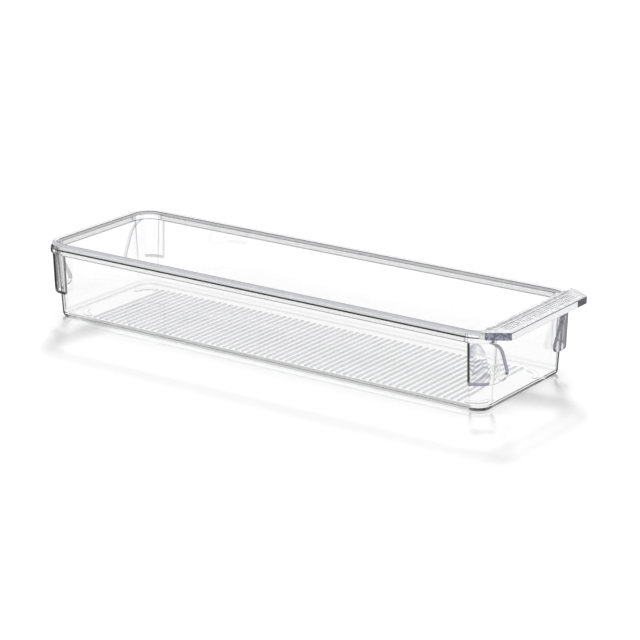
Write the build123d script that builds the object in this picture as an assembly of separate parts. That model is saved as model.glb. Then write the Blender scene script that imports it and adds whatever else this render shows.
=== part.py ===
from build123d import *
import math
import os

# Clear stacking organizer tray for a fridge drawer or shelf.
# Millimetres. +X runs to the pull handle, +Y across, +Z up. The tray stands on z = 0.

# Heights
rim_top = 50.0              # flat top of the rim
flange_thickness = 1.8      # top flange of the rim
lip_height = 3.0            # upper lip, from the rim's top down
band_height = 3.3           # band below it
leg_bottom = 18.0           # end faces of the stacking legs
foot_height = 0.6           # foot pads under the floor
rib_height = 0.55           # ribs under the floor, clear of the table by the difference
floor_thickness = 1.8

# Rim, seen from above
rim_length = 328.2          # over the upper lip, without the handle
rim_width = 102.2
rim_corner_radius = 15.0
flange_width = 4.35         # from the inner edge to the upper lip's outer face
lip_thickness = 1.8
band_step = 0.85            # the band stands out this far from the upper lip
rim_edge_radius = 0.8
flange_inner_radius = 0.5
band_edge = 0.35            # small bevel on the band's outer edges
band_end_inset = 8.6        # under the handle the band ends this far in from each side

# Walls
wall_thickness = 1.5
wall_draft = 3.6            # degrees from the vertical
outer_heel_radius = 2.5     # outside, between floor and walls
inner_heel_radius = 2.5

# Pull handle
handle_reach = 10.4         # from the upper lip's outer face to the front edge
handle_rise = 1.4           # the handle's top stands above the rim
handle_overhang = 1.4       # the plate's inner edge stands in over the opening
handle_plate = 1.8
handle_lip = 1.8            # thickness of the turned-down edge
handle_corner_cut = 8.4     # the cut corners take this much off each side
handle_shoulder = 2.2       # they begin this far behind the upper lip's end
handle_front_radius = 3.0
handle_shoulder_radius = 8.0
handle_edge_radius = 0.5
bead_width = 2.2            # raised bead along the plate's inner edge
bead_height = 0.5
bead_setback = 0.4
bead_end_gap = 7.1          # from each side of the rim
grip_count = 4
grip_pitch = 1.9
grip_width = 1.0
grip_height = 0.3
grip_bevel = 0.24
grip_end_gap = 13.1         # from each side of the rim
grip_setback = 3.1          # first ridge, from the bead's outer side to its middle

# Stacking legs
leg_inset = 0.3             # outer face at the top, in from the upper lip
leg_draft = 2.0
leg_reach_front = 13.5      # along the long sides, in from the rim's end
leg_reach_back = 17.5
leg_tip_inset = 27.2        # lower tip on an end, in from the rim's side
claw_lean = 26.5            # degrees, lower straight stretch of the free edge
curl_height = 9.7           # the free edge curls over this height, below the band
curl_end_inset = 7.6        # upper end of the curl, in from the rim's side
leg_tip_radius = 4.0
leg_corner_radius = 0.8

# Underside
rib_pitch = 4.68
rib_field_inset = 27.4      # no rib nearer to the rim's end than this
rib_width = 2.0
rib_crest = 1.2
rib_end_gap = 16.0          # from the rim's side
foot_arc_radius = 10.6      # middle line of the crescent-shaped pads
foot_width = 3.0
foot_centre_from_end = 24.6     # arc centre, in from the rim's end
foot_centre_from_side = 28.1    # arc centre, in from the rim's side
foot_arc_angle = 76.0

# Derived sizes
half_length = rim_length / 2
half_width = rim_width / 2
arc_x = half_length - rim_corner_radius
arc_y = half_width - rim_corner_radius
flange_bottom = rim_top - flange_thickness
lip_bottom = rim_top - lip_height
band_bottom = lip_bottom - band_height
floor_top = foot_height + floor_thickness
floor_split = floor_top + inner_heel_radius
wall_inset = flange_width - wall_thickness
leg_thickness = lip_thickness - leg_inset   # flush with the lip's inner face
handle_front = half_length + handle_reach
handle_back = half_length - flange_width - handle_overhang
handle_top = rim_top + handle_rise
tall = handle_top + bead_height
back_end = half_length + band_step
centre_shift = (back_end - handle_front) / 2
long = handle_front + back_end
overrun = 1.0               # cutters pass the faces they cut by this
close_to = 0.01             # points nearer than this count as one


def plan(inset, z):
    """Rounded rectangle that lies the given distance inside the upper lip's outer face."""
    return Plane.XY.offset(z) * RectangleRounded(
        rim_length - 2 * inset, rim_width - 2 * inset, rim_corner_radius - inset
    )


def straight_block(inset, z_low, z_high):
    return extrude(plan(inset, z_low), amount=z_high - z_low)


def drafted_block(inset_top, z_low, z_high, draft):
    """Block with the given inset at its top, which narrows downwards."""
    inset_low = inset_top + (z_high - z_low) * tan_degrees(draft)
    return extrude(plan(inset_low, z_low), amount=z_high - z_low, taper=-draft)


def tan_degrees(angle):
    return math.tan(math.radians(angle))


def box_between(x_low, x_high, y_low, y_high, z_low, z_high):
    return Pos((x_low + x_high) / 2, (y_low + y_high) / 2, (z_low + z_high) / 2) * Box(
        x_high - x_low, y_high - y_low, z_high - z_low
    )


def tray_shell():
    """Floor and four drafted walls with rounded heels, up to the underside of the rim flange."""
    outer = drafted_block(wall_inset, foot_height, flange_bottom, wall_draft)
    outer = fillet(outer.faces().sort_by(Axis.Z)[0].edges(), outer_heel_radius)
    inner = drafted_block(flange_width, floor_top, flange_bottom, wall_draft)
    inner = fillet(inner.faces().sort_by(Axis.Z)[0].edges(), inner_heel_radius)
    return outer - inner


def shell_parts():
    """The shell's own regions: floor, four flat walls and four rounded corners."""
    shell = tray_shell()
    parts = {"floor_panel": shell & box_between(-long, long, -long, long, 0, floor_split)}
    upper = (floor_split, tall)
    parts["wall_left"] = shell & box_between(-arc_x, arc_x, arc_y, long, *upper)
    parts["wall_right"] = shell & box_between(-arc_x, arc_x, -long, -arc_y, *upper)
    parts["wall_front"] = shell & box_between(arc_x, long, -arc_y, arc_y, *upper)
    parts["wall_back"] = shell & box_between(-long, -arc_x, -arc_y, arc_y, *upper)
    corner = shell & box_between(arc_x, long, arc_y, long, *upper)
    parts.update(four_corners("corner", corner, corner))
    return parts


def four_corners(name, front, back):
    """A piece at the four corners, each made at the front left and mirrored to its place."""
    back_left = mirror(back, about=Plane.YZ)
    return {
        name + "_front_left": front,
        name + "_front_right": mirror(front, about=Plane.XZ),
        name + "_back_left": back_left,
        name + "_back_right": mirror(back_left, about=Plane.XZ),
    }


def rim_ring():
    """Top flange with its short upper lip, a channel that is open below, all the way round."""
    ring = straight_block(0, lip_bottom, rim_top)
    opening = straight_block(flange_width, lip_bottom, rim_top)
    channel = straight_block(lip_thickness, lip_bottom, flange_bottom)
    return ring - opening - channel


def ahead_of(x):
    return box_between(x, long, -long, long, 0, tall)


def rim_flange():
    """The ring with its top edges rounded, up to the handle."""
    outer, inner = rim_ring().faces().sort_by(Axis.Z)[-1].wires().sort_by(Wire.length)[::-1]
    ring = fillet(outer.edges(), rim_edge_radius)
    top_edges = ring.faces().sort_by(Axis.Z)[-1].wires().sort_by(Wire.length)[0].edges()
    return fillet(top_edges, flange_inner_radius) - ahead_of(handle_back)


def rim_band():
    """Lower band of the rim, one step wider, left open under the handle for fingers."""
    ring = straight_block(-band_step, band_bottom, lip_bottom)
    low, high = band_bottom - overrun, lip_bottom + overrun
    ring = ring - straight_block(lip_thickness, low, high)
    half_gap = half_width - band_end_inset
    ring = ring - box_between(arc_x, long, -half_gap, half_gap, low, high)
    outline = [edge for edge in ring.edges() if runs_outside(edge)]
    return chamfer(outline, band_edge)


def runs_outside(edge):
    """True for the level edges of the band's outer face."""
    level = edge.bounding_box().size.Z < close_to
    middle = edge @ 0.5
    depth_x = abs(middle.X) - arc_x
    depth_y = abs(middle.Y) - arc_y
    if depth_x > 0 and depth_y > 0:
        distance = math.hypot(depth_x, depth_y)
    else:
        distance = max(depth_x, depth_y)
    return level and distance > rim_corner_radius


def handle_outline(inset, z):
    """Plan of the handle: full width, cut corners and a straight front edge."""
    shoulder_x = half_length - handle_shoulder
    side_y = half_width - inset
    front_x = handle_front - inset
    front_y = half_width - handle_corner_cut - inset / 2
    points = [
        (handle_back, -side_y), (shoulder_x, -side_y), (front_x, -front_y),
        (front_x, front_y), (shoulder_x, side_y), (handle_back, side_y),
    ]
    face = make_face(Polyline(*points, close=True))
    front = [v for v in face.vertices() if v.X > front_x - close_to]
    face = fillet(front, handle_front_radius)
    shoulders = [v for v in face.vertices() if abs(v.X - shoulder_x) < close_to]
    face = fillet(shoulders, handle_shoulder_radius)
    return Plane.XY.offset(z) * face


def pull_handle():
    """Flat pull plate with a turned-down edge, in one with the rim's front end."""
    plate = extrude(handle_outline(0, lip_bottom), amount=handle_top - lip_bottom)
    plate = fillet(plate.faces().sort_by(Axis.Z)[-1].edges(), handle_edge_radius)
    pocket_top = handle_top - handle_plate
    pocket = extrude(handle_outline(handle_lip, lip_bottom), amount=pocket_top - lip_bottom)
    front_rim = rim_ring() & ahead_of(handle_back)
    return plate - pocket - straight_block(0, 0, rim_top) + front_rim


def handle_bead():
    x = handle_back + bead_setback
    half = half_width - bead_end_gap
    bead = box_between(x, x + bead_width, -half, half, handle_top, handle_top + bead_height)
    return fillet(bead.faces().sort_by(Axis.Z)[-1].edges(), bead_height / 2)


def grip_ridges():
    """Low straight ridges on the handle's top."""
    first = handle_back + bead_setback + bead_width + grip_setback
    length = rim_width - 2 * grip_end_gap
    ridges = []
    for index in range(grip_count):
        x = first + index * grip_pitch
        ridge = Pos(x, 0, handle_top + grip_height / 2) * Box(grip_width, length, grip_height)
        top = ridge.faces().sort_by(Axis.Z)[-1]
        ridges.append(chamfer(top.edges(), grip_bevel))
    return Compound(children=ridges)


def claw_cut():
    """What the free edge of a leg leaves open on an end face, as a prism along X."""
    tip_y = half_width - leg_tip_inset
    turn_z = band_bottom - curl_height
    turn_y = tip_y + (turn_z - leg_bottom) * tan_degrees(claw_lean)
    end = (half_width - curl_end_inset, band_bottom)
    lower = Line((tip_y, leg_bottom), (turn_y, turn_z))
    curl = TangentArc((turn_y, turn_z), end, tangent=lower % 1)
    close = Polyline(end, (0, band_bottom), (0, leg_bottom), (tip_y, leg_bottom))
    face = make_face(lower + curl + close)
    return extrude(Plane.YZ.offset(arc_x) * face, amount=long)


def stacking_leg(reach):
    """Corner leg: it hangs from the rim outside the walls and wraps the corner."""
    outer = drafted_block(leg_inset, leg_bottom, band_bottom, leg_draft)
    inner = drafted_block(leg_inset + leg_thickness, leg_bottom, band_bottom, leg_draft)
    ring = outer - inner
    long_edge = half_length - reach
    leg = ring & box_between(long_edge, long, 0, long, leg_bottom, band_bottom)
    leg = leg - claw_cut()
    leg = fillet(end_edge(leg, Vector(0, 1, 0)), leg_tip_radius)
    return fillet(end_edge(leg, Vector(1, 0, 0)), leg_corner_radius)


def end_edge(leg, direction):
    """The short edge across the leg's bottom face, where the leg starts along a direction."""
    def farther_end(edge):
        return max((edge @ 0).dot(direction), (edge @ 1).dot(direction))

    return min(leg.faces().sort_by(Axis.Z)[0].edges(), key=farther_end)


def floor_ribs():
    """Cross ribs under the floor, with sloped sides."""
    low = foot_height - rib_height
    section = make_face(Polyline(
        (-rib_crest / 2, low), (rib_crest / 2, low),
        (rib_width / 2, foot_height), (-rib_width / 2, foot_height), close=True,
    ))
    rib = extrude(Plane.XZ * section, amount=half_width - rib_end_gap, both=True)
    count = int((rim_length - 2 * rib_field_inset) / rib_pitch) + 1
    first = -(count - 1) * rib_pitch / 2
    return Compound(children=[Pos(first + i * rib_pitch, 0, 0) * rib for i in range(count)])


def foot_pad():
    """Crescent-shaped pad under a corner of the floor."""
    centre_x = half_length - foot_centre_from_end
    centre_y = half_width - foot_centre_from_side
    start = 45 - foot_arc_angle / 2
    middle = CenterArc((centre_x, centre_y), foot_arc_radius, start, foot_arc_angle)
    face = SlotArc(arc=middle, height=foot_width)
    return extrude(face.face(), amount=foot_height)


def build_nodes():
    nodes = shell_parts()
    nodes["rim_flange"] = rim_flange()
    nodes["rim_band"] = rim_band()
    nodes["pull_handle"] = pull_handle()
    nodes["handle_bead"] = handle_bead()
    nodes["grip_ridges"] = grip_ridges()
    legs = (stacking_leg(leg_reach_front), stacking_leg(leg_reach_back))
    nodes.update(four_corners("stacking_leg", *legs))
    nodes["floor_ribs"] = floor_ribs()
    pad = foot_pad()
    nodes.update(four_corners("foot_pad", pad, pad))
    return nodes


os.makedirs("parts", exist_ok=True)
for node_name, shape in build_nodes().items():
    placed = Pos(centre_shift, 0, 0) * shape
    export_step(placed, os.path.join("parts", node_name + ".step"))
    size = placed.bounding_box().size
    print(f"{node_name}: {size.X:.2f} x {size.Y:.2f} x {size.Z:.2f} mm")
print(f"overall: {long:.2f} x {rim_width + 2 * band_step:.2f} x {tall:.2f} mm")
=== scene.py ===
import math

import bmesh
import bpy
from mathutils import Matrix, Vector


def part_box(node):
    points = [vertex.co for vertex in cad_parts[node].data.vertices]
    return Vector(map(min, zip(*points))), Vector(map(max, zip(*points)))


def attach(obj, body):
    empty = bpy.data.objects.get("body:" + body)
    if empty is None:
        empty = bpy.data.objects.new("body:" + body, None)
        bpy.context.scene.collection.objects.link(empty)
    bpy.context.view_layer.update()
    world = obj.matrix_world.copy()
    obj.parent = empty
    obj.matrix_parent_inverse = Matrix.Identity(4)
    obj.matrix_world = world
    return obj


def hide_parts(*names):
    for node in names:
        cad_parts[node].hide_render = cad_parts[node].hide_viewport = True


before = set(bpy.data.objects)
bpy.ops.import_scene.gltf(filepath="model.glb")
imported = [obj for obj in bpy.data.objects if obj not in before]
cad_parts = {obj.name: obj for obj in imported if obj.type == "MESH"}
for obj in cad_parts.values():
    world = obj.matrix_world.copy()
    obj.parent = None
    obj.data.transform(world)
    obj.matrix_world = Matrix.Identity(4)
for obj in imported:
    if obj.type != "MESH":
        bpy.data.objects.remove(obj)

# Clear fridge drawer organizer: one injection moulding, so one closed mesh stands for all its CAD nodes.
# Lengths in the dictionaries are millimetres, and angles are degrees.

mm = 0.001
close = dict(level=0.0001, weld=0.001, loops=0.01)    # how near points count as one
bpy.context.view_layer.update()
trayCentre = (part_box("floor_panel")[0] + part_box("floor_panel")[1]) / 2


def addNode(tree, kind, inputs=None, **settings):
    node = tree.nodes.new(kind)
    for name, value in settings.items():
        setattr(node, name, value)
    for key, value in (inputs or {}).items():
        if isinstance(value, bpy.types.NodeSocket):
            tree.links.new(value, node.inputs[key])
        else:
            node.inputs[key].default_value = value
    return node


def hexColour(text):
    channels = [int(text[i:i + 2], 16) / 255 for i in (1, 3, 5)]
    return [c / 12.92 if c <= 0.04045 else ((c + 0.055) / 1.055) ** 2.4 for c in channels] + [1.0]


def tanOf(degrees):
    return math.tan(math.radians(degrees))


def newObject(name, data):
    thing = bpy.data.objects.new(name, data)
    bpy.context.scene.collection.objects.link(thing)
    return thing


def objectFromBmesh(name, shape, material=None):
    bmesh.ops.recalc_face_normals(shape, faces=shape.faces)
    mesh = bpy.data.meshes.new(name)
    if material:
        mesh.materials.append(material)
    shape.to_mesh(mesh)
    shape.free()
    return newObject(name, mesh)


def applyModifiers(thing):
    graph = bpy.context.evaluated_depsgraph_get()
    mesh = bpy.data.meshes.new_from_object(thing.evaluated_get(graph))
    thing.modifiers.clear()
    thing.data = mesh
    return thing


def combine(target, tool, operation):
    cut = target.modifiers.new(operation, "BOOLEAN")
    cut.operation, cut.solver, cut.object = operation, "MANIFOLD", tool
    cut.material_mode = "TRANSFER"
    applyModifiers(target)
    bpy.data.objects.remove(tool)
    return target


def turnOutwards(thing):
    shape = bmesh.new()
    shape.from_mesh(thing.data)
    bmesh.ops.remove_doubles(shape, verts=shape.verts, dist=close["weld"] * mm)
    bmesh.ops.recalc_face_normals(shape, faces=shape.faces)
    shape.to_mesh(thing.data)
    shape.free()


def runTree(name, tree, values):
    # A geometry tree run once on an empty mesh, then kept as a plain mesh
    thing = newObject(name, bpy.data.meshes.new(name))
    modifier = thing.modifiers.new(name, "NODES")
    modifier.node_group = tree
    for item in tree.interface.items_tree:
        if item.in_out == "INPUT" and item.name in values:
            modifier[item.identifier] = values[item.name]
    thing.update_tag()
    return applyModifiers(thing)


def newTree(name, floats=(), whole=(), others=None):
    tree = bpy.data.node_groups.new(name, "GeometryNodeTree")
    for label in floats:
        tree.interface.new_socket(label, in_out="INPUT", socket_type="NodeSocketFloat")
    for label in whole:
        tree.interface.new_socket(label, in_out="INPUT", socket_type="NodeSocketInt")
    for label, kind in (others or {}).items():
        tree.interface.new_socket(label, in_out="INPUT", socket_type=kind)
    tree.interface.new_socket("Geometry", in_out="OUTPUT", socket_type="NodeSocketGeometry")
    return tree, addNode(tree, "NodeGroupInput").outputs


def finishTree(tree, geometry, material):
    realized = addNode(tree, "GeometryNodeRealizeInstances", {"Geometry": geometry})
    painted = addNode(tree, "GeometryNodeSetMaterial", {
        "Geometry": realized.outputs[0], "Material": material})
    addNode(tree, "NodeGroupOutput", {0: painted.outputs[0]})


def roundCorners(corners, steps=4, closed=False):
    # Corners are (a, b, radius); each one with a radius becomes an arc
    line = []
    for i, (a, b, radius) in enumerate(corners):
        here = Vector((a, b))
        if radius == 0 or (not closed and i in (0, len(corners) - 1)):
            line.append(here)
            continue
        before = (Vector(corners[i - 1][:2]) - here).normalized()
        after = (Vector(corners[(i + 1) % len(corners)][:2]) - here).normalized()
        half = before.angle(after) / 2
        centre = here + (before + after).normalized() * radius / math.sin(half)
        start, end = here + before * radius / math.tan(half), here + after * radius / math.tan(half)
        turn = (start - centre).angle_signed(end - centre)
        for k in range(steps + 1):
            angle = -turn * k / steps
            arm = start - centre
            line.append(centre + Vector((arm.x * math.cos(angle) - arm.y * math.sin(angle),
                                         arm.x * math.sin(angle) + arm.y * math.cos(angle))))
    return line


def prism(name, outline, low, high, topRound=0.0, lowRound=0.0, material=None):
    # Upright block over a plan outline, its top and bottom edges rounded
    shape = bmesh.new()
    base = shape.faces.new([shape.verts.new((x * mm, y * mm, low * mm)) for x, y in outline])
    lifted = bmesh.ops.extrude_face_region(shape, geom=[base])["geom"]
    upper = [part for part in lifted if isinstance(part, bmesh.types.BMVert)]
    bmesh.ops.translate(shape, vec=(0, 0, (high - low) * mm), verts=upper)
    for level, size in ((high, topRound), (low, lowRound)):
        if size:
            edges = [edge for edge in shape.edges
                     if all(abs(point.co.z - level * mm) < close["level"] * mm for point in edge.verts)]
            bmesh.ops.bevel(shape, geom=edges, offset=size * mm, segments=4, profile=0.5, affect="EDGES")
    return objectFromBmesh(name, shape, material)


# General-purpose polystyrene, injection moulded in a polished tool: water clear with a high index, so radii
# and steps draw as lines, and a long way through it turns grey. Where a mould radius is too fine to show,
# the strip is painted partly opaque and grey, as painted shade for the light it turns away.
key = dict(direction=(-0.58, 0.83, 0.73), strength=2.2, softness=12.0)    # behind the tray, to its left
plastic = dict(ior=1.57, roughness=0.015, absorbs=8.0, absorbTint="#B4B4BC")
tone = dict(fullSlant=0.97, darkest=0.96, darkRoughness=0.5,
            mottleFrom=0.42, mottleTo=0.6, paintedLinesFrom=0.45, paintedLinesTo=0.9, paintedLinesDetail=1.4)
clearShade = ("#FFFFFF", "#F4F4F6")    # what a lamp's light keeps, straight through and at a slant
thickShade = ("#8C8C94", "#484850")    # stepped and thick parts bend more of it away


def clearPlastic(name, baseColour, slantShade, clearShare=1.0, roughness=plastic["roughness"], ior=plastic["ior"],
                 slantFrom=0.72, turnsDark=None, wave=(22.0, 0.05), grain=None, mottle=None, paintedLines=None,
                 shade=clearShade):
    # clearShare is what isn't milky, and a lower ior draws fainter. baseColour is white, and painted grey to
    # near black as shade on the lines and strips; it goes over to slantShade, a painted shade, at a slant.
    # turnsDark is where a slant starts and ends to go over to an opaque painted dark that hides the bright
    # room. wave and grain are (size, height) of the relief, mottle is (size, colour) of uneven patches,
    # paintedLines is (band, colour, axis, twist) of painted grey lines, and shade is what a lamp's light
    # keeps.
    material = bpy.data.materials.new(name)
    material.use_nodes = True
    tree = material.node_tree
    tree.nodes.clear()
    place = addNode(tree, "ShaderNodeTexCoord").outputs["Object"]
    relief = {}
    for size, height in [wave, grain] if grain else [wave]:
        noise = addNode(tree, "ShaderNodeTexNoise", {
            "Vector": place, "Scale": 1 / (size * mm), "Detail": 0.0})
        bump = addNode(tree, "ShaderNodeBump", {
            "Height": noise.outputs["Fac"], "Strength": 1.0, "Distance": height * mm, **relief})
        relief = {"Normal": bump.outputs["Normal"]}
    facing = addNode(tree, "ShaderNodeLayerWeight", {"Blend": 0.5}).outputs["Facing"]
    slant = addNode(tree, "ShaderNodeMapRange", {
        "Value": facing, "From Min": slantFrom, "From Max": tone["fullSlant"]}).outputs[0]
    plain = hexColour(baseColour)
    if mottle:
        size, other = mottle
        cloud = addNode(tree, "ShaderNodeTexNoise", {
            "Vector": place, "Scale": 1 / (size * mm), "Detail": 0.0})
        share = addNode(tree, "ShaderNodeMapRange", {
            "Value": cloud.outputs["Fac"], "From Min": tone["mottleFrom"], "From Max": tone["mottleTo"]},
            interpolation_type="SMOOTHSTEP")
        plain = addNode(tree, "ShaderNodeMix", {0: share.outputs[0], 6: plain, 7: hexColour(other)},
                        data_type="RGBA").outputs[2]
    # Painted grey lines: on the near leg they stand in for the ribs seen bent through it
    if paintedLines:
        band, other, axis, twist = paintedLines
        lines = addNode(tree, "ShaderNodeTexWave", {
            "Vector": place, "Scale": math.pi / 10 / (band * mm), "Distortion": twist, "Detail": 0.0,
            "Detail Scale": tone["paintedLinesDetail"]}, bands_direction=axis)
        share = addNode(tree, "ShaderNodeMapRange", {
            "Value": lines.outputs["Fac"], "From Min": tone["paintedLinesFrom"], "From Max": tone["paintedLinesTo"]})
        plain = addNode(tree, "ShaderNodeMix", {0: share.outputs[0], 6: plain, 7: hexColour(other)},
                        data_type="RGBA").outputs[2]
    # Painted shade: the colour goes over to slantShade at a slant
    colour = addNode(tree, "ShaderNodeMix", {0: slant, 6: plain, 7: hexColour(slantShade)}, data_type="RGBA")
    shader = addNode(tree, "ShaderNodeBsdfPrincipled", {
        "Base Color": colour.outputs[2], "Roughness": roughness, "IOR": ior,
        "Transmission Weight": clearShare, **relief})
    # Past the slant an opaque painted dark is mixed in, as shade at the outline
    if turnsDark:
        dim = addNode(tree, "ShaderNodeMapRange", {
            "Value": facing, "From Min": turnsDark[0], "From Max": turnsDark[1], "To Max": tone["darkest"]},
            interpolation_type="SMOOTHSTEP")
        dark = addNode(tree, "ShaderNodeBsdfPrincipled", {
            "Base Color": hexColour(slantShade), "Roughness": tone["darkRoughness"],
            "Specular IOR Level": 0.0, **relief})
        shader = addNode(tree, "ShaderNodeMixShader", {
            0: dim.outputs[0], 1: shader.outputs[0], 2: dark.outputs[0]})
    # Lamps reach what is behind the clear wall, a little less at a slant
    path = addNode(tree, "ShaderNodeLightPath")
    kept = addNode(tree, "ShaderNodeMix", {0: slant, 6: hexColour(shade[0]), 7: hexColour(shade[1])},
                   data_type="RGBA")
    through = addNode(tree, "ShaderNodeBsdfTransparent", {"Color": kept.outputs[2]})
    mix = addNode(tree, "ShaderNodeMixShader", {
        0: path.outputs["Is Shadow Ray"], 1: shader.outputs[0], 2: through.outputs[0]})
    grey = addNode(tree, "ShaderNodeVolumeAbsorption", {
        "Color": hexColour(plastic["absorbTint"]), "Density": plastic["absorbs"]})
    addNode(tree, "ShaderNodeOutputMaterial", {"Surface": mix.outputs[0], "Volume": grey.outputs[0]})
    return material


# Large clear faces, painted a little grey at a slant, and the corners near black there, as painted shade
wallClear = clearPlastic("clearWallPolystyrene", "#FFFFFF", "#E0E0E4")
cornerClear = clearPlastic("clearCornerPolystyrene", "#FFFFFF", "#24242C", slantFrom=0.5,
                           turnsDark=(0.5, 0.72))
heelClear = clearPlastic("clearHeelPolystyrene", "#FFFFFF", "#F8F8FA")
longHeelClear = clearPlastic("clearLongHeelPolystyrene", "#FFFFFF", "#F8F8FA", 0.4, 0.1)
# The rim, thick and stepped: milky, painted darker at its slants, roundings and strips as shade, and paler on
# the tops that face the light
rimClear = clearPlastic("clearRimPolystyrene", "#FFFFFF", "#60606A", 0.55, 0.05, slantFrom=0.8,
                        shade=thickShade)
rimEdgeClear = clearPlastic("clearRimEdgePolystyrene", "#ECECF0", "#202028", 0.3, 0.1, shade=thickShade)
stripClear = clearPlastic("clearStripPolystyrene", "#B8B8C0", "#8A8A92", 0.4, 0.1, shade=thickShade)
lipClear = clearPlastic("clearLipPolystyrene", "#FFFFFF", "#30303A", 0.35, 0.1, slantFrom=0.8,
                        turnsDark=(0.52, 0.8), shade=thickShade)
topClear = clearPlastic("clearTopPolystyrene", "#FFFFFF", "#C8C8D0", 0.3, 0.1, shade=thickShade)
bandClear = clearPlastic("clearBandPolystyrene", "#FFFFFF", "#24242C", 0.8, 0.05, slantFrom=0.8,
                         turnsDark=(0.6, 0.8), shade=thickShade)
# Tight radii and end faces turn the light away, so they are painted near black as shade; soft radii and beads
# are painted a lighter grey
edgeClear = clearPlastic("clearEdgePolystyrene", "#101018", "#0C0C12", 0.06, 0.2, shade=thickShade)
lineClear = clearPlastic("clearLinePolystyrene", "#8C8C96", "#6A6A74", 0.35, 0.15, shade=thickShade)
beadClear = clearPlastic("clearBeadPolystyrene", "#A4A2B6", "#6E6C82", 0.4, 0.15)
paleBeadClear = clearPlastic("clearPaleBeadPolystyrene", "#FFFFFF", "#B0B0BA", 0.7, 0.1)
# The handle, with a slightly uneven surface from the tool
handleClear = clearPlastic("clearHandlePolystyrene", "#FFFFFF", "#A8A8B2", 0.5, 0.08, grain=(0.9, 0.05),
                           mottle=(2.6, "#E4E4E8"))
handleLipClear = clearPlastic("clearHandleLipPolystyrene", "#FFFFFF", "#F8F8FA", 0.1, 0.1)
# The far corner of its lip is painted near black and its ends violet-grey, as shade
handleCornerClear = clearPlastic("clearHandleCornerPolystyrene", "#0C0A12", "#101016", 0.02, 0.2,
                                 mottle=(1.8, "#34343E"), shade=thickShade)
handleEndClear = clearPlastic("clearHandleEndPolystyrene", "#74728A", "#5A5870", 0.4, 0.12, grain=(1.2, 0.12),
                              mottle=(1.4, "#AEACC0"), shade=thickShade)
# The legs: one plain with painted dark outlines as shade, one with painted wavy grey lines that stand in for
# the ribs seen bent through it, one with painted upright grey lines, and one faint
legClear = clearPlastic("clearLegPolystyrene", "#FFFFFF", "#101016", wave=(12.0, 0.3), slantFrom=0.62,
                        turnsDark=(0.46, 0.64))
legPaintedRefractionClear = clearPlastic("clearFlowLinePolystyrene", "#FFFFFF", "#24242C", wave=(12.0, 0.3),
                            slantFrom=0.62, paintedLines=(4.2, "#C4C4CC", "Z", 14.0))
farLegClear = clearPlastic("clearFarLegPolystyrene", "#FFFFFF", "#84848E", wave=(12.0, 0.3), slantFrom=0.62,
                           paintedLines=(5.0, "#A8A8B0", "Y", 0.6), turnsDark=(0.5, 0.68))
calmClear = clearPlastic("clearCalmLegPolystyrene", "#FFFFFF", "#FFFFFF", ior=1.15)
calmBeadClear = clearPlastic("clearCalmBeadPolystyrene", "#F0F0F3", "#E4E4EA", 0.93, 0.05, ior=1.15)
# The ribs under the floor, painted grey and milky as shade
ribClear = clearPlastic("clearRibPolystyrene", "#D2D2D8", "#8A8A92", 0.55)
print("materials ready")


def paintFaces(thing, material, chosen):
    # chosen(middle, normal) says which faces take the material, in millimetres
    if material.name not in thing.data.materials:
        thing.data.materials.append(material)
    index = thing.data.materials.find(material.name)
    for face in thing.data.polygons:
        if chosen(face.center / mm, face.normal):
            face.material_index = index


# Tray shell: floor, walls, rim flange, upper lip and band in one swept profile
tray = dict(length=328.2, width=102.2, cornerRadius=15.0, cornerSteps=18, top=50.0,
            flange=1.8, flangeWidth=4.35, lip=1.8, lipHeight=3.0, bandHeight=3.3, bandStep=0.85,
            wall=1.5, draft=3.6, heel=2.5, floorLow=0.6, floorTop=2.4, floorRun=1.0, profileSteps=5,
            topEdge=0.8, innerEdge=0.5, stepEdge=0.15, bandEdge=0.35, channelEdge=0.25)
# Heights of the painted dark line at the step and of the pale lip over it, and the painted strips along the
# flange's edges
rimLines = dict(belowStep=0.45, aboveStep=0.2, clearTo=1.9, strip=1.0)
halfLength, halfWidth = tray["length"] / 2, tray["width"] / 2
arcX, arcY = halfLength - tray["cornerRadius"], halfWidth - tray["cornerRadius"]
flangeLow = tray["top"] - tray["flange"]
lipLow = tray["top"] - tray["lipHeight"]
bandLow = lipLow - tray["bandHeight"]


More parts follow.
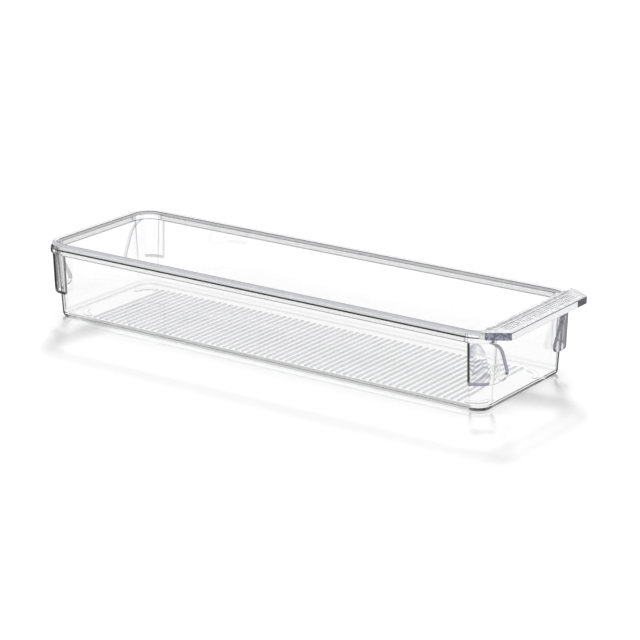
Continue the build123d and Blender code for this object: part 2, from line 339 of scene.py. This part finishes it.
def shellTree():
    # A closed path swept with an open profile; the two loops left at the floor are then filled
    tree, inputs = newTree(
        "trayShell", ("Length", "Width", "Corner radius", "Floor low", "Floor top"), ("Corner steps",),
        {"Profile": "NodeSocketObject", "Material": "NodeSocketMaterial"})
    frameLine = addNode(tree, "GeometryNodeCurvePrimitiveQuadrilateral", {
        "Width": inputs["Length"], "Height": inputs["Width"]})
    path = addNode(tree, "GeometryNodeFilletCurve", {
        "Curve": frameLine.outputs[0], "Radius": inputs["Corner radius"], "Count": inputs["Corner steps"]},
        mode="POLY")
    profile = addNode(tree, "GeometryNodeObjectInfo", {"Object": inputs["Profile"]})
    swept = addNode(tree, "GeometryNodeCurveToMesh", {
        "Curve": path.outputs[0], "Profile Curve": profile.outputs["Geometry"]})
    faces = addNode(tree, "GeometryNodeInputMeshEdgeNeighbors")
    loose = addNode(tree, "FunctionNodeCompare", {2: faces.outputs[0], 3: 1},
                    data_type="INT", operation="EQUAL")
    where = addNode(tree, "ShaderNodeSeparateXYZ", {0: addNode(tree, "GeometryNodeInputPosition").outputs[0]})
    middle = addNode(tree, "ShaderNodeMath", {0: inputs["Floor low"], 1: inputs["Floor top"]},
                     operation="ADD")
    middle = addNode(tree, "ShaderNodeMath", {0: middle.outputs[0], 1: 0.5}, operation="MULTIPLY")
    under = addNode(tree, "FunctionNodeCompare", {0: where.outputs["Z"], 1: middle.outputs[0]},
                    data_type="FLOAT", operation="LESS_THAN")
    chosen = addNode(tree, "FunctionNodeBooleanMath", {0: loose.outputs[0], 1: under.outputs[0]},
                     operation="AND")
    loop = addNode(tree, "GeometryNodeMeshToCurve", {
        "Mesh": swept.outputs[0], "Selection": chosen.outputs[0]})
    sheet = addNode(tree, "GeometryNodeFillCurve", {"Curve": loop.outputs[0]}, mode="NGONS")
    joined = addNode(tree, "GeometryNodeJoinGeometry", {0: swept.outputs[0]})
    for label in ("Floor low", "Floor top"):
        place = addNode(tree, "GeometryNodeInputPosition")
        parts = addNode(tree, "ShaderNodeSeparateXYZ", {0: place.outputs[0]})
        flat = addNode(tree, "ShaderNodeCombineXYZ", {
            0: parts.outputs[0], 1: parts.outputs[1], 2: inputs[label]})
        level = addNode(tree, "GeometryNodeSetPosition", {
            "Geometry": sheet.outputs[0], "Position": flat.outputs[0]})
        tree.links.new(level.outputs[0], joined.inputs[0])
    welded = addNode(tree, "GeometryNodeMergeByDistance", {
        "Geometry": joined.outputs[0], "Distance": close["loops"] * mm})
    finishTree(tree, welded.outputs[0], inputs["Material"])
    return tree


def shellProfile():
    # From under the floor, up the outside, over the rim and down the inside, as (outwards, z, radius)
    def outer(z):
        return tray["wall"] - tray["flangeWidth"] - (flangeLow - z) * tanOf(tray["draft"])

    def inner(z):
        return outer(z) - tray["wall"]

    low, top, step, strip = tray["floorLow"], tray["floorTop"], tray["bandStep"], rimLines["strip"]
    floorEnd = inner(top) - tray["heel"] - tray["floorRun"]
    corners = [
        (floorEnd, low, 0), (outer(low), low, tray["heel"]),
        (outer(flangeLow), flangeLow, tray["channelEdge"]), (-tray["lip"], flangeLow, tray["channelEdge"]),
        (-tray["lip"], bandLow, tray["channelEdge"]), (step, bandLow, tray["bandEdge"]),
        (step, lipLow - rimLines["belowStep"], 0), (step, lipLow, tray["bandEdge"]),
        (0, lipLow, tray["stepEdge"]), (0, lipLow + rimLines["aboveStep"], 0),
        (0, lipLow + rimLines["clearTo"], 0), (0, tray["top"], tray["topEdge"]),
        (-tray["topEdge"] - strip, tray["top"], 0),
        (strip + tray["innerEdge"] - tray["flangeWidth"], tray["top"], 0),
        (-tray["flangeWidth"], tray["top"], tray["innerEdge"]), (-tray["flangeWidth"], flangeLow, 0),
        (inner(top), top, tray["heel"]), (floorEnd, top, 0),
    ]
    curve = bpy.data.curves.new("shellProfile", "CURVE")
    line = curve.splines.new("POLY")
    points = roundCorners(corners, steps=tray["profileSteps"])
    line.points.add(len(points) - 1)
    for point, (x, z) in zip(line.points, points):
        point.co = (x * mm, -z * mm, 0, 1)      # the sweep turns the profile's own Y down
    return newObject("shellProfile", curve)


profile = shellProfile()
body = runTree("trayBody", shellTree(), {
    "Length": tray["length"] * mm, "Width": tray["width"] * mm,
    "Corner radius": tray["cornerRadius"] * mm, "Corner steps": tray["cornerSteps"],
    "Floor low": tray["floorLow"] * mm, "Floor top": tray["floorTop"] * mm,
    "Profile": profile, "Material": wallClear})
bpy.data.objects.remove(profile)
turnOutwards(body)


# Which faces of the shell take which look, most of them painted shade: how deep in the rim they lie, and the
# tilt of their normals
shellFaces = dict(aboveFlange=0.05, belowBand=0.05, rimDepth=2.5, faceDepth=0.3, innerDepth=0.1,
                  roundingFrom=0.02, flat=0.99, upright=0.1, wall=0.2, heelFrom=0.02, heelTo=0.98)
outerStrip = (-tray["topEdge"] - rimLines["strip"], -tray["topEdge"])
innerStrip = (-tray["flangeWidth"], rimLines["strip"] + tray["innerEdge"] - tray["flangeWidth"])


def outwards(spot):
    # Distance outside the upper lip's outer face, seen from above
    spotX, spotY = abs(spot.x) - arcX, abs(spot.y) - arcY
    if spotX > 0 and spotY > 0:
        return math.hypot(spotX, spotY) - tray["cornerRadius"]
    return max(spotX, spotY) - tray["cornerRadius"]


def litBehind(spot):
    # Sides of the rim that look towards the light
    spotX = math.copysign(max(0.0, abs(spot.x) - arcX), spot.x)
    spotY = math.copysign(max(0.0, abs(spot.y) - arcY), spot.y)
    return spotX * key["direction"][0] + spotY * key["direction"][1] > 0


def onRim(spot, normal):
    onUpperLip = spot.z > lipLow and outwards(spot) > -shellFaces["rimDepth"]
    return spot.z > flangeLow + shellFaces["aboveFlange"] or onUpperLip


def onOuterRounding(spot, normal):
    return spot.z > tray["top"] - tray["topEdge"] and outwards(spot) > -tray["topEdge"]


def onInnerRounding(spot, normal):
    inside = outwards(spot) + tray["flangeWidth"]
    return (spot.z > tray["top"] - tray["innerEdge"] and normal.z < shellFaces["flat"]
            and shellFaces["roundingFrom"] < inside < tray["innerEdge"])


def onFlangeTop(spot, normal, strip=(innerStrip[0], outerStrip[1])):
    return normal.z > shellFaces["flat"] and spot.z > flangeLow and strip[0] < outwards(spot) < strip[1]


def onInnerStrip(spot, normal):
    return onFlangeTop(spot, normal, innerStrip)


def onOuterStrip(spot, normal):
    return onFlangeTop(spot, normal, outerStrip)


def onInnerFace(spot, normal):
    return (abs(normal.z) < shellFaces["upright"] and spot.z > flangeLow
            and abs(outwards(spot) + tray["flangeWidth"]) < shellFaces["innerDepth"])


def onLip(spot, normal):
    return 0 < spot.z - lipLow < rimLines["clearTo"] and outwards(spot) > -shellFaces["faceDepth"]


def onBand(spot, normal):
    return bandLow - shellFaces["belowBand"] < spot.z < lipLow and outwards(spot) > -shellFaces["rimDepth"]


def onStep(spot, normal):
    return (-rimLines["belowStep"] < spot.z - lipLow < rimLines["aboveStep"]
            and outwards(spot) > -shellFaces["faceDepth"])


def onCorner(spot, normal):
    return (tray["floorLow"] + tray["heel"] < spot.z < flangeLow and abs(normal.z) < shellFaces["wall"]
            and abs(spot.x) > arcX and abs(spot.y) > arcY)


def onHeel(spot, normal):
    return (spot.z < tray["floorTop"] + tray["heel"]
            and shellFaces["heelFrom"] < abs(normal.z) < shellFaces["heelTo"])


def onLongHeel(spot, normal):
    return onHeel(spot, normal) and abs(spot.x) < arcX and spot.y < -arcY


# Each look goes over the ones before it, on the sides that the light comes from, the others, or both, so the
# sides towards the light and those away from it are painted with different light and shade
lit, unlit, both = (True,), (False,), (True, False)
for surfaceLook, sides, chosen in (
        (rimClear, both, onRim),
        (rimEdgeClear, both, onOuterRounding),
        (rimEdgeClear, both, onInnerRounding),
        (topClear, lit, onFlangeTop),
        (topClear, lit, onInnerFace),
        (lineClear, lit, onInnerRounding),
        (edgeClear, lit, onOuterRounding),
        (lineClear, unlit, onInnerStrip),
        (stripClear, unlit, onOuterStrip),
        (lipClear, both, onLip),
        (bandClear, both, onBand),
        (edgeClear, both, onStep),
        (cornerClear, both, onCorner),
        (heelClear, both, onHeel),
        (longHeelClear, both, onLongHeel)):
    paintFaces(body, surfaceLook, lambda spot, normal: litBehind(spot) in sides and chosen(spot, normal))
print("shell swept:", len(body.data.vertices), "points")


# Pull handle: plate with cut corners and a turned-down edge
handle = dict(reach=10.4, rise=1.4, overhang=1.4, plate=1.8, lip=1.8, cornerCut=8.4, shoulder=2.2,
              frontRadius=3.0, shoulderRadius=8.0, topEdge=0.5, lowEdge=0.25, pocketEdge=0.5,
              sunk=0.2, inRim=0.3, steps=10, spare=2.0,    # spare is how far a cutting block reaches past it
              dark=20.0)    # where the painted shade on the far corner's lip starts, from the side
# Which of its faces take which look: how they face, and how far in from the front they lie
handleFaces = dict(front=0.7, frontDepth=0.1, corner=0.3, cornerDepth=2.0, rounding=0.2, slope=0.1,
                   roundingDepth=0.7, side=0.4)
handleBack = halfLength - tray["flangeWidth"] - handle["overhang"]
handleFront = halfLength + handle["reach"]
handleTop = tray["top"] + handle["rise"]


def handleOutline(inset, back):
    front, side = handleFront - inset, halfWidth - inset
    turn = halfWidth - handle["cornerCut"] - inset / 2
    shoulder = halfLength - handle["shoulder"]
    shoulderRadius, frontRadius = handle["shoulderRadius"] - inset, handle["frontRadius"] - inset / 2
    return roundCorners([
        (back, -side, 0), (shoulder, -side, shoulderRadius), (front, -turn, frontRadius),
        (front, halfWidth - handle["dark"], 0), (front, turn, frontRadius), (shoulder, side, shoulderRadius),
        (back, side, 0)], steps=handle["steps"], closed=True)


def rimOutline(inset):
    x, y, radius = halfLength - inset, halfWidth - inset, tray["cornerRadius"] - inset
    return roundCorners([(x, -y, radius), (x, y, radius), (-x, y, radius), (-x, -y, radius)],
                        steps=tray["cornerSteps"], closed=True)


def onFront(spot, normal):
    return normal.x > handleFaces["front"] and spot.x > handleFront - handleFaces["frontDepth"]


def onFarCorner(spot, normal):
    return (normal.x > handleFaces["corner"] and spot.y > halfWidth - handle["dark"]
            and spot.x > handleFront - handleFaces["cornerDepth"])


def onFrontRounding(spot, normal):
    return (normal.x > handleFaces["rounding"] and abs(normal.z) > handleFaces["slope"]
            and spot.x > handleFront - handleFaces["roundingDepth"])


def onSide(spot, normal):
    return abs(normal.y) > handleFaces["side"] and abs(spot.x) > halfLength - handle["shoulder"]


pull = prism("pullHandle", handleOutline(0, handleBack), lipLow, handleTop,
             handle["topEdge"], handle["lowEdge"], handleClear)
pocket = prism("pocket", handleOutline(handle["lip"], handleBack - handle["spare"]), lipLow - 1,
               handleTop - handle["plate"], handle["pocketEdge"])
combine(pull, pocket, "DIFFERENCE")
# The lip's front is made milky white; its roundings are painted grey, its far corner near black and its ends
# violet-grey, as shade
for surfaceLook, chosen in ((handleLipClear, onFront), (handleCornerClear, onFarCorner),
                       (lineClear, onFrontRounding), (handleEndClear, onSide)):
    paintFaces(pull, surfaceLook, chosen)
# The plate is sunk a little into the rim, so the two run into one
rimBlock = prism("rimBlock", rimOutline(handle["inRim"]), lipLow - handle["spare"],
                 tray["top"] - handle["sunk"])
combine(pull, rimBlock, "DIFFERENCE")
print("handle:", len(pull.data.vertices), "points")


# Raised lines on the handle and ribs under the floor: one tree of parallel bars for both
ribs = dict(count=59, pitch=4.68, crest=1.2, root=2.0, height=0.55, endGap=16.0, sunk=0.5, edge=0.12)
grips = dict(count=4, pitch=1.9, crest=0.52, root=1.0, height=0.3, endGap=13.1, sunk=0.3, edge=0.08,
             setback=3.1)
bead = dict(width=2.2, height=0.5, setback=0.4, endGap=7.1, sunk=0.3)


def barsTree():
    # Each bar is a trapezoid section swept along Y; the bars stand in a row along X
    tree, inputs = newTree(
        "parallelBars", ("First X", "Pitch", "Half length", "Crest", "Root", "Height", "Sunk", "Edge",
                         "Level", "Up"), ("Count",), {"Material": "NodeSocketMaterial"})
    tall = addNode(tree, "ShaderNodeMath", {0: inputs["Height"], 1: inputs["Sunk"]}, operation="ADD")
    taper = addNode(tree, "ShaderNodeMath", {0: inputs["Root"], 1: inputs["Crest"]}, operation="SUBTRACT")
    spread = addNode(tree, "ShaderNodeMath", {0: taper.outputs[0], 1: inputs["Height"]}, operation="DIVIDE")
    added = addNode(tree, "ShaderNodeMath", {0: spread.outputs[0], 1: tall.outputs[0]}, operation="MULTIPLY")
    wide = addNode(tree, "ShaderNodeMath", {0: inputs["Crest"], 1: added.outputs[0]}, operation="ADD")
    section = addNode(tree, "GeometryNodeCurvePrimitiveQuadrilateral", {
        "Bottom Width": inputs["Crest"], "Top Width": wide.outputs[0], "Height": tall.outputs[0],
        "Offset": 0}, mode="TRAPEZOID")
    soft = addNode(tree, "GeometryNodeFilletCurve", {
        "Curve": section.outputs[0], "Radius": inputs["Edge"], "Count": 3}, mode="POLY")
    back = addNode(tree, "ShaderNodeMath", {0: inputs["Half length"], 1: -1.0}, operation="MULTIPLY")
    start = addNode(tree, "ShaderNodeCombineXYZ", {1: back.outputs[0]})
    end = addNode(tree, "ShaderNodeCombineXYZ", {1: inputs["Half length"]})
    along = addNode(tree, "GeometryNodeCurvePrimitiveLine", {
        "Start": start.outputs[0], "End": end.outputs[0]}, mode="POINTS")
    bar = addNode(tree, "GeometryNodeCurveToMesh", {
        "Curve": along.outputs[0], "Profile Curve": soft.outputs[0], "Fill Caps": True})
    first = addNode(tree, "ShaderNodeCombineXYZ", {0: inputs["First X"], 2: inputs["Level"]})
    step = addNode(tree, "ShaderNodeCombineXYZ", {0: inputs["Pitch"]})
    row = addNode(tree, "GeometryNodeMeshLine", {
        "Count": inputs["Count"], "Start Location": first.outputs[0], "Offset": step.outputs[0]},
        mode="OFFSET")
    flip = addNode(tree, "ShaderNodeCombineXYZ", {0: 1.0, 1: 1.0, 2: inputs["Up"]})
    placed = addNode(tree, "GeometryNodeInstanceOnPoints", {
        "Points": row.outputs[0], "Instance": bar.outputs[0], "Scale": flip.outputs[0]})
    finishTree(tree, placed.outputs[0], inputs["Material"])
    return tree


def parallelBars(name, tree, bars, firstX, surface, up, material):
    # surface is the level the bars stand on; the section's middle lies at Level
    tall = bars["height"] + bars["sunk"]
    level = surface + up * (bars["height"] - tall / 2)
    made = runTree(name, tree, {
        "First X": firstX * mm, "Pitch": bars["pitch"] * mm,
        "Half length": (halfWidth - bars["endGap"]) * mm,
        "Crest": bars["crest"] * mm, "Root": bars["root"] * mm, "Height": bars["height"] * mm,
        "Sunk": bars["sunk"] * mm, "Edge": bars["edge"] * mm, "Level": level * mm, "Up": float(up),
        "Count": bars["count"], "Material": material})
    turnOutwards(made)
    return made


barTree = barsTree()
ribsFrom = -(ribs["count"] - 1) * ribs["pitch"] / 2
gripsFrom = handleBack + bead["setback"] + bead["width"] + grips["setback"]
floorRibs = parallelBars("floorRibs", barTree, ribs, ribsFrom, tray["floorLow"], -1, ribClear)
gripLines = parallelBars("gripLines", barTree, grips, gripsFrom, handleTop, 1, handleClear)
x = handleBack + bead["setback"]
y = halfWidth - bead["endGap"]
beadBar = prism("handleBead", [(x, -y), (x + bead["width"], -y), (x + bead["width"], y), (x, y)],
                handleTop - bead["sunk"], handleTop + bead["height"], bead["height"] / 2, 0, handleClear)
print("ribs and grips:", len(floorRibs.data.polygons) + len(gripLines.data.polygons), "faces")


# Stacking legs: a wrapped corner wall hung from the band, its free edge curled like a claw
leg = dict(low=18.0, inset=0.3, thickness=1.5, draft=2.0, reachFront=13.5, reachBack=17.5,
           tipInset=27.2, clawLean=26.5, curlHeight=9.7, curlEndInset=7.6, tipRadius=4.0,
           cornerRadius=0.8, edge=0.2, sunk=0.6)
# How finely it is divided: columns along it, steps in its curves, the usual and the least height of a row,
# the angle of an edge that is rounded, and how far under the top such edges end
legSteps = dict(along=36, curl=12, tip=8, corner=5, row=2.0, rowLeast=0.02, sharp=70.0, hidden=0.1,
                spare=12.0)    # how far off the point lies that only gives an outline its first direction
# Beads along its free edges, and where the looks change: calmFrom is the first column of the end wall
legLines = dict(sideBead=1.2, clawBead=2.6, proud=0.3, slope=0.15, beadFrom=21.0, beadTip=0.8,
                calmFrom=17, foot=1.8)
sideWall, darkLine, clawBead, endWall, footEnd = range(5)


def clawEdge():
    # The free edge on the end face, from the bottom up, as (y, z)
    tipY = halfWidth - leg["tipInset"]
    turnZ = bandLow - leg["curlHeight"]
    turnY = tipY + (turnZ - leg["low"]) * tanOf(leg["clawLean"])
    endY, endZ = halfWidth - leg["curlEndInset"], bandLow
    lean = math.radians(leg["clawLean"])
    bend = math.atan2(endY - turnY, endZ - turnZ) - lean
    radius = math.hypot(endY - turnY, endZ - turnZ) / 2 / math.sin(bend)
    curl = []
    for k in range(1, legSteps["curl"] + 1):
        middle = lean + bend * k / legSteps["curl"]
        length = 2 * radius * math.sin(bend * k / legSteps["curl"])
        curl.append((turnY + length * math.sin(middle), turnZ + length * math.cos(middle)))
    tip = [(tipY + legSteps["spare"], leg["low"], 0), (tipY, leg["low"], leg["tipRadius"]), (turnY, turnZ, 0)]
    line = [(y, z) for y, z in roundCorners(tip, steps=legSteps["tip"])[1:]] + curl
    return line + [(line[-1][0], bandLow + leg["sunk"])]


def sideEdge(reach):
    # The free edge on the long side, from the bottom up, as (x, z)
    x = halfLength - reach
    foot = [(x + legSteps["spare"], leg["low"], 0), (x, leg["low"], leg["cornerRadius"]), (x, bandLow, 0)]
    line = [(a, z) for a, z in roundCorners(foot, steps=legSteps["corner"])[1:]]
    return line + [(x, bandLow + leg["sunk"])]


def readEdge(line, z):
    for (a, low), (b, high) in zip(line, line[1:]):
        if z <= high + 1e-9 and high > low:
            return a + (b - a) * max(0.0, (z - low) / (high - low))
    return line[-1][0]


def alongCorner(inset, startX, endY, columns):
    # Points at an inset from the rim's corner, from startX to where Y is endY, at the distances in columns
    radius = tray["cornerRadius"] - inset
    straight = arcX - startX
    sweep = math.pi / 2 if endY < arcY else math.acos(min(1.0, (endY - arcY) / radius))
    whole = straight + radius * sweep + max(0.0, arcY - endY)
    points = []
    for distance, proud in columns(whole):
        reach = radius + proud
        angle = min(sweep, max(0.0, (distance - straight) / radius))
        past = max(0.0, distance - straight - radius * sweep)
        before = min(0.0, distance - straight)
        points.append((arcX + before + reach * math.sin(angle), arcY - past + reach * math.cos(angle)))
    return points


def beadedColumns(whole):
    # Close to each free edge the outer face stands proud as a bead
    side, claw = legLines["sideBead"], legLines["clawBead"]
    proud, slope = legLines["proud"], legLines["slope"]
    ends = [(0.0, proud), (side, proud), (side + slope, 0.0)]
    last = [(whole - claw - slope, 0.0), (whole - claw, proud), (whole, proud)]
    first, final, count = ends[-1][0], last[0][0], legSteps["along"] - 4
    return ends + [(first + (final - first) * k / count, 0.0) for k in range(1, count)] + last


def plainColumns(whole):
    return [(distance, 0.0) for distance, proud in beadedColumns(whole)]


def outsideLook(k, z):
    # The claw's bead starts above the rounded tip; darkLine and footEnd are slots that most legs paint dark,
    # as shade
    last = legSteps["along"] - 1
    if z < leg["low"] + legLines["foot"] and k < legLines["calmFrom"]:
        return footEnd
    if k >= last - 1:
        if z < legLines["beadFrom"]:
            return darkLine if z > legLines["beadFrom"] - legLines["beadTip"] else endWall
        return clawBead if k == last else darkLine
    return darkLine if k < 2 else sideWall if k < legLines["calmFrom"] else endWall


def legRows(claw, side):
    # Heights of the rows: at every point of both edges, and no further apart than the usual height
    levels = sorted({round(z, 4) for _, z in claw + side if z >= leg["low"]})
    rows = [levels[0]]
    for z in levels[1:]:
        start, rise = rows[-1], z - rows[-1]
        if rise > legSteps["rowLeast"]:
            gaps = max(1, round(rise / legSteps["row"]))
            rows += [start + rise * (k + 1) / gaps for k in range(gaps)]
    return rows


def stackingLeg(name, reach, signX, signY, surfaceLooks):
    claw, side = clawEdge(), sideEdge(reach)
    levels = legRows(claw, side)
    shape = bmesh.new()
    sheets = []
    for depth, columns in ((0.0, beadedColumns), (leg["thickness"], plainColumns)):
        rows = []
        for z in levels:
            inset = leg["inset"] + depth + (bandLow - z) * tanOf(leg["draft"])
            spots = alongCorner(inset, readEdge(side, z), readEdge(claw, z), columns)
            rows.append([shape.verts.new((signX * px * mm, signY * py * mm, z * mm)) for px, py in spots])
        sheets.append(rows)
    outside, inside = sheets
    for rows in sheets:
        for a, b, z in zip(rows, rows[1:], levels):
            for k in range(legSteps["along"]):
                face = shape.faces.new((a[k], a[k + 1], b[k + 1], b[k]))
                calm = sideWall if k < legLines["calmFrom"] else endWall
                face.material_index = outsideLook(k, z) if rows is outside else calm
    for k in range(legSteps["along"]):
        for r in (0, -1):
            edge = shape.faces.new((outside[r][k], outside[r][k + 1], inside[r][k + 1], inside[r][k]))
            edge.material_index = footEnd if k < legLines["calmFrom"] else endWall
    tipTop = legLines["beadFrom"] - legLines["beadTip"]
    for r in range(len(levels) - 1):
        for k in (0, -1):
            edge = shape.faces.new((outside[r][k], outside[r + 1][k], inside[r + 1][k], inside[r][k]))
            edge.material_index = endWall if k == -1 and levels[r] < tipTop else darkLine
    bmesh.ops.recalc_face_normals(shape, faces=shape.faces)
    seen = (bandLow + leg["sunk"] - legSteps["hidden"]) * mm
    sharp = [edge for edge in shape.edges
             if len(edge.link_faces) == 2 and edge.calc_face_angle() > math.radians(legSteps["sharp"])
             and min(point.co.z for point in edge.verts) < seen]
    bmesh.ops.bevel(shape, geom=sharp, offset=leg["edge"] * mm, segments=3, profile=0.5, affect="EDGES",
                    clamp_overlap=True)
    made = objectFromBmesh(name, shape, surfaceLooks[0])
    for surfaceLook in surfaceLooks[1:]:
        made.data.materials.append(surfaceLook)
    return made


# Looks in the order of sideWall to footEnd; edgeClear, beadClear and the pale beads are painted shade
drawnLeg = (legPaintedRefractionClear, edgeClear, beadClear, wallClear, beadClear)
paleLeg = (legClear, paleBeadClear, paleBeadClear, legClear, edgeClear)
farLeg = (farLegClear, paleBeadClear, farLegClear, farLegClear, edgeClear)
calmLeg = (calmClear, calmBeadClear, calmBeadClear, calmClear, calmBeadClear)
legs = []
for signX, signY, surfaceLooks in ((1, -1, drawnLeg), (1, 1, farLeg), (-1, -1, paleLeg), (-1, 1, calmLeg)):
    reach = leg["reachFront"] if signX > 0 else leg["reachBack"]
    legs.append(stackingLeg("stackingLeg", reach, signX, signY, surfaceLooks))
print("legs:", sum(len(thing.data.polygons) for thing in legs), "faces")


# Foot pads: crescents under the floor's corners
foot = dict(centreFromEnd=24.6, centreFromSide=28.1, arcRadius=10.6, width=3.0, angle=76.0, sunk=0.4,
            edge=0.15, arcSteps=16, endSteps=6)


def crescent(signX, signY):
    x, y = halfLength - foot["centreFromEnd"], halfWidth - foot["centreFromSide"]
    start, turn = math.radians(45 - foot["angle"] / 2), math.radians(foot["angle"])
    middle, half, steps = foot["arcRadius"], foot["width"] / 2, foot["arcSteps"]
    line = []
    for radius, spots in ((middle + half, range(steps + 1)), (middle - half, range(steps, -1, -1))):
        for k in spots:
            angle = start + turn * k / steps
            line.append((x + radius * math.cos(angle), y + radius * math.sin(angle)))
        # Round end between the outer and the inner arc
        angle = start + turn if radius > middle else start
        centre = (x + middle * math.cos(angle), y + middle * math.sin(angle))
        begin = angle if radius > middle else angle + math.pi
        for k in range(1, foot["endSteps"]):
            spin = begin + math.pi * k / foot["endSteps"]
            line.append((centre[0] + half * math.cos(spin), centre[1] + half * math.sin(spin)))
    return [(signX * a, signY * b) for a, b in line]


footTop = tray["floorLow"] + foot["sunk"]
feet = [prism("footPad", crescent(signX, signY), 0.0, footTop, 0, foot["edge"], wallClear)
        for signX in (1, -1) for signY in (1, -1)]
# The pads' sides are painted near black, as shade
for thing in feet:
    paintFaces(thing, edgeClear, lambda spot, normal: abs(normal.z) < 0.5)


# The band is left open under the handle, for fingers; each next block reaches past the one it trims
gap = dict(endInset=8.6, depth=2.3, over=2.0, past=10.0)
gapY, pastEnd = halfWidth - gap["endInset"], halfLength + gap["past"]
opening = prism("fingerGap", rimOutline(-gap["over"]), bandLow - 1, lipLow)
combine(opening, prism("keep", rimOutline(gap["depth"]), bandLow - 2, lipLow + 1), "DIFFERENCE")
front = [(arcX, -gapY), (pastEnd, -gapY), (pastEnd, gapY), (arcX, gapY)]
combine(opening, prism("front", front, bandLow - 3, lipLow + 2), "INTERSECT")
combine(body, opening, "DIFFERENCE")
for thing in [pull, beadBar, gripLines, floorRibs] + legs + feet:
    combine(body, thing, "UNION")
turnOutwards(body)
body.data.transform(Matrix.Translation((trayCentre.x, 0, 0)))
print("joined:", len(body.data.vertices), "points")


def finishSurface(thing, sharpFrom=32.0):
    # Soft where the tool's radii are, flat on the large faces, and crisp at real corners
    mesh = thing.data
    mesh.polygons.foreach_set("use_smooth", [True] * len(mesh.polygons))
    mesh.set_sharp_from_angle(angle=math.radians(sharpFrom))
    weigh = thing.modifiers.new("weighted", "WEIGHTED_NORMAL")
    weigh.keep_sharp, weigh.weight = True, 100
    applyModifiers(thing)
    thing.data.name = thing.name


finishSurface(body)
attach(body, "root")
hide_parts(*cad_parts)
print("moulding finished:", len(body.data.polygons), "faces")


# Table and backdrop: white, with the whole soft shadow seen directly and a tenth of it through the plastic
stage = dict(size=6.0, white="#FFFFFF", paper="#FFFFFF", shadowSeen=1.0, shadowThrough=0.1)


def whiteTable():
    material = bpy.data.materials.new("whiteTable")
    material.use_nodes = True
    tree = material.node_tree
    tree.nodes.clear()
    paper = addNode(tree, "ShaderNodeBsdfDiffuse", {"Color": hexColour(stage["paper"])})
    glow = addNode(tree, "ShaderNodeEmission", {"Color": hexColour(stage["white"]), "Strength": 1.0})
    path = addNode(tree, "ShaderNodeLightPath")
    through = addNode(tree, "ShaderNodeMath", {
        0: path.outputs["Is Glossy Ray"], 1: path.outputs["Is Transmission Ray"]}, operation="MAXIMUM")
    through = addNode(tree, "ShaderNodeMath", {0: through.outputs[0], 1: 1 - stage["shadowThrough"]},
                      operation="MULTIPLY")
    straight = addNode(tree, "ShaderNodeMath", {0: path.outputs["Is Camera Ray"], 1: 1 - stage["shadowSeen"]},
                       operation="MULTIPLY")
    share = addNode(tree, "ShaderNodeMath", {0: through.outputs[0], 1: straight.outputs[0]},
                    operation="MAXIMUM")
    mix = addNode(tree, "ShaderNodeMixShader", {0: share.outputs[0], 1: paper.outputs[0], 2: glow.outputs[0]})
    addNode(tree, "ShaderNodeOutputMaterial", {"Surface": mix.outputs[0]})
    return material


table = bmesh.new()
half = stage["size"] / 2
table.faces.new([table.verts.new((x * half, y * half, 0)) for x, y in ((-1, -1), (1, -1), (1, 1), (-1, 1))])
floor = objectFromBmesh("table", table)
floor.data.materials.append(whiteTable())

# Surroundings: white low down, darker overhead, so the plastic's edges draw as lines
room = dict(low=0.36, high=0.62, ceiling="#C4C4CA", horizon="#FFFFFF", fill=0.74)
world = bpy.data.worlds.new("studio")
bpy.context.scene.world = world
world.use_nodes = True
tree = world.node_tree
tree.nodes.clear()
height = addNode(tree, "ShaderNodeSeparateXYZ", {0: addNode(tree, "ShaderNodeTexCoord").outputs["Generated"]})
rise = addNode(tree, "ShaderNodeMapRange", {
    "Value": height.outputs["Z"], "From Min": room["low"], "From Max": room["high"]},
    interpolation_type="SMOOTHSTEP")
surround = addNode(tree, "ShaderNodeMix", {
    0: rise.outputs[0], 6: hexColour(room["horizon"]), 7: hexColour(room["ceiling"])}, data_type="RGBA")
path = addNode(tree, "ShaderNodeLightPath")
seen = addNode(tree, "ShaderNodeMath", {
    0: path.outputs["Is Glossy Ray"], 1: path.outputs["Is Transmission Ray"]}, operation="MAXIMUM")
seenBack = addNode(tree, "ShaderNodeBackground", {"Color": surround.outputs[2], "Strength": 1.0})
fillBack = addNode(tree, "ShaderNodeBackground", {"Color": hexColour("#FFFFFF"), "Strength": room["fill"]})
whiteBack = addNode(tree, "ShaderNodeBackground", {"Color": hexColour("#FFFFFF"), "Strength": 1.0})
light = addNode(tree, "ShaderNodeMixShader", {
    0: seen.outputs[0], 1: fillBack.outputs[0], 2: seenBack.outputs[0]})
mix = addNode(tree, "ShaderNodeMixShader", {
    0: path.outputs["Is Camera Ray"], 1: light.outputs[0], 2: whiteBack.outputs[0]})
addNode(tree, "ShaderNodeOutputWorld", {"Surface": mix.outputs[0]})

lamp = bpy.data.lights.new("keyBehind", "SUN")
lamp.energy, lamp.angle = key["strength"], math.radians(key["softness"])
sun = newObject("keyBehind", lamp)
sun.visible_glossy = sun.visible_transmission = False
sun.rotation_euler = Vector(key["direction"]).to_track_quat("Z", "Y").to_euler()

# The photograph's own camera, solved from the rim's and the base's lines; its place is in metres
shot = dict(place=(0.8379, -1.1721, 0.4812), tilt=72.12, turn=35.17, sensor=36, lens=139.4, shiftX=-0.0064,
            near=0.05, far=50)
camera = bpy.data.cameras.new("camera")
camera.sensor_width, camera.lens = shot["sensor"], shot["lens"]
camera.shift_x, camera.clip_start, camera.clip_end = shot["shiftX"], shot["near"], shot["far"]
eye = newObject("camera", camera)
eye.location = shot["place"]
eye.rotation_euler = (math.radians(shot["tilt"]), 0, math.radians(shot["turn"]))
bpy.context.scene.camera = eye
bpy.context.scene.view_settings.view_transform = "Standard"
print("stage and camera ready")
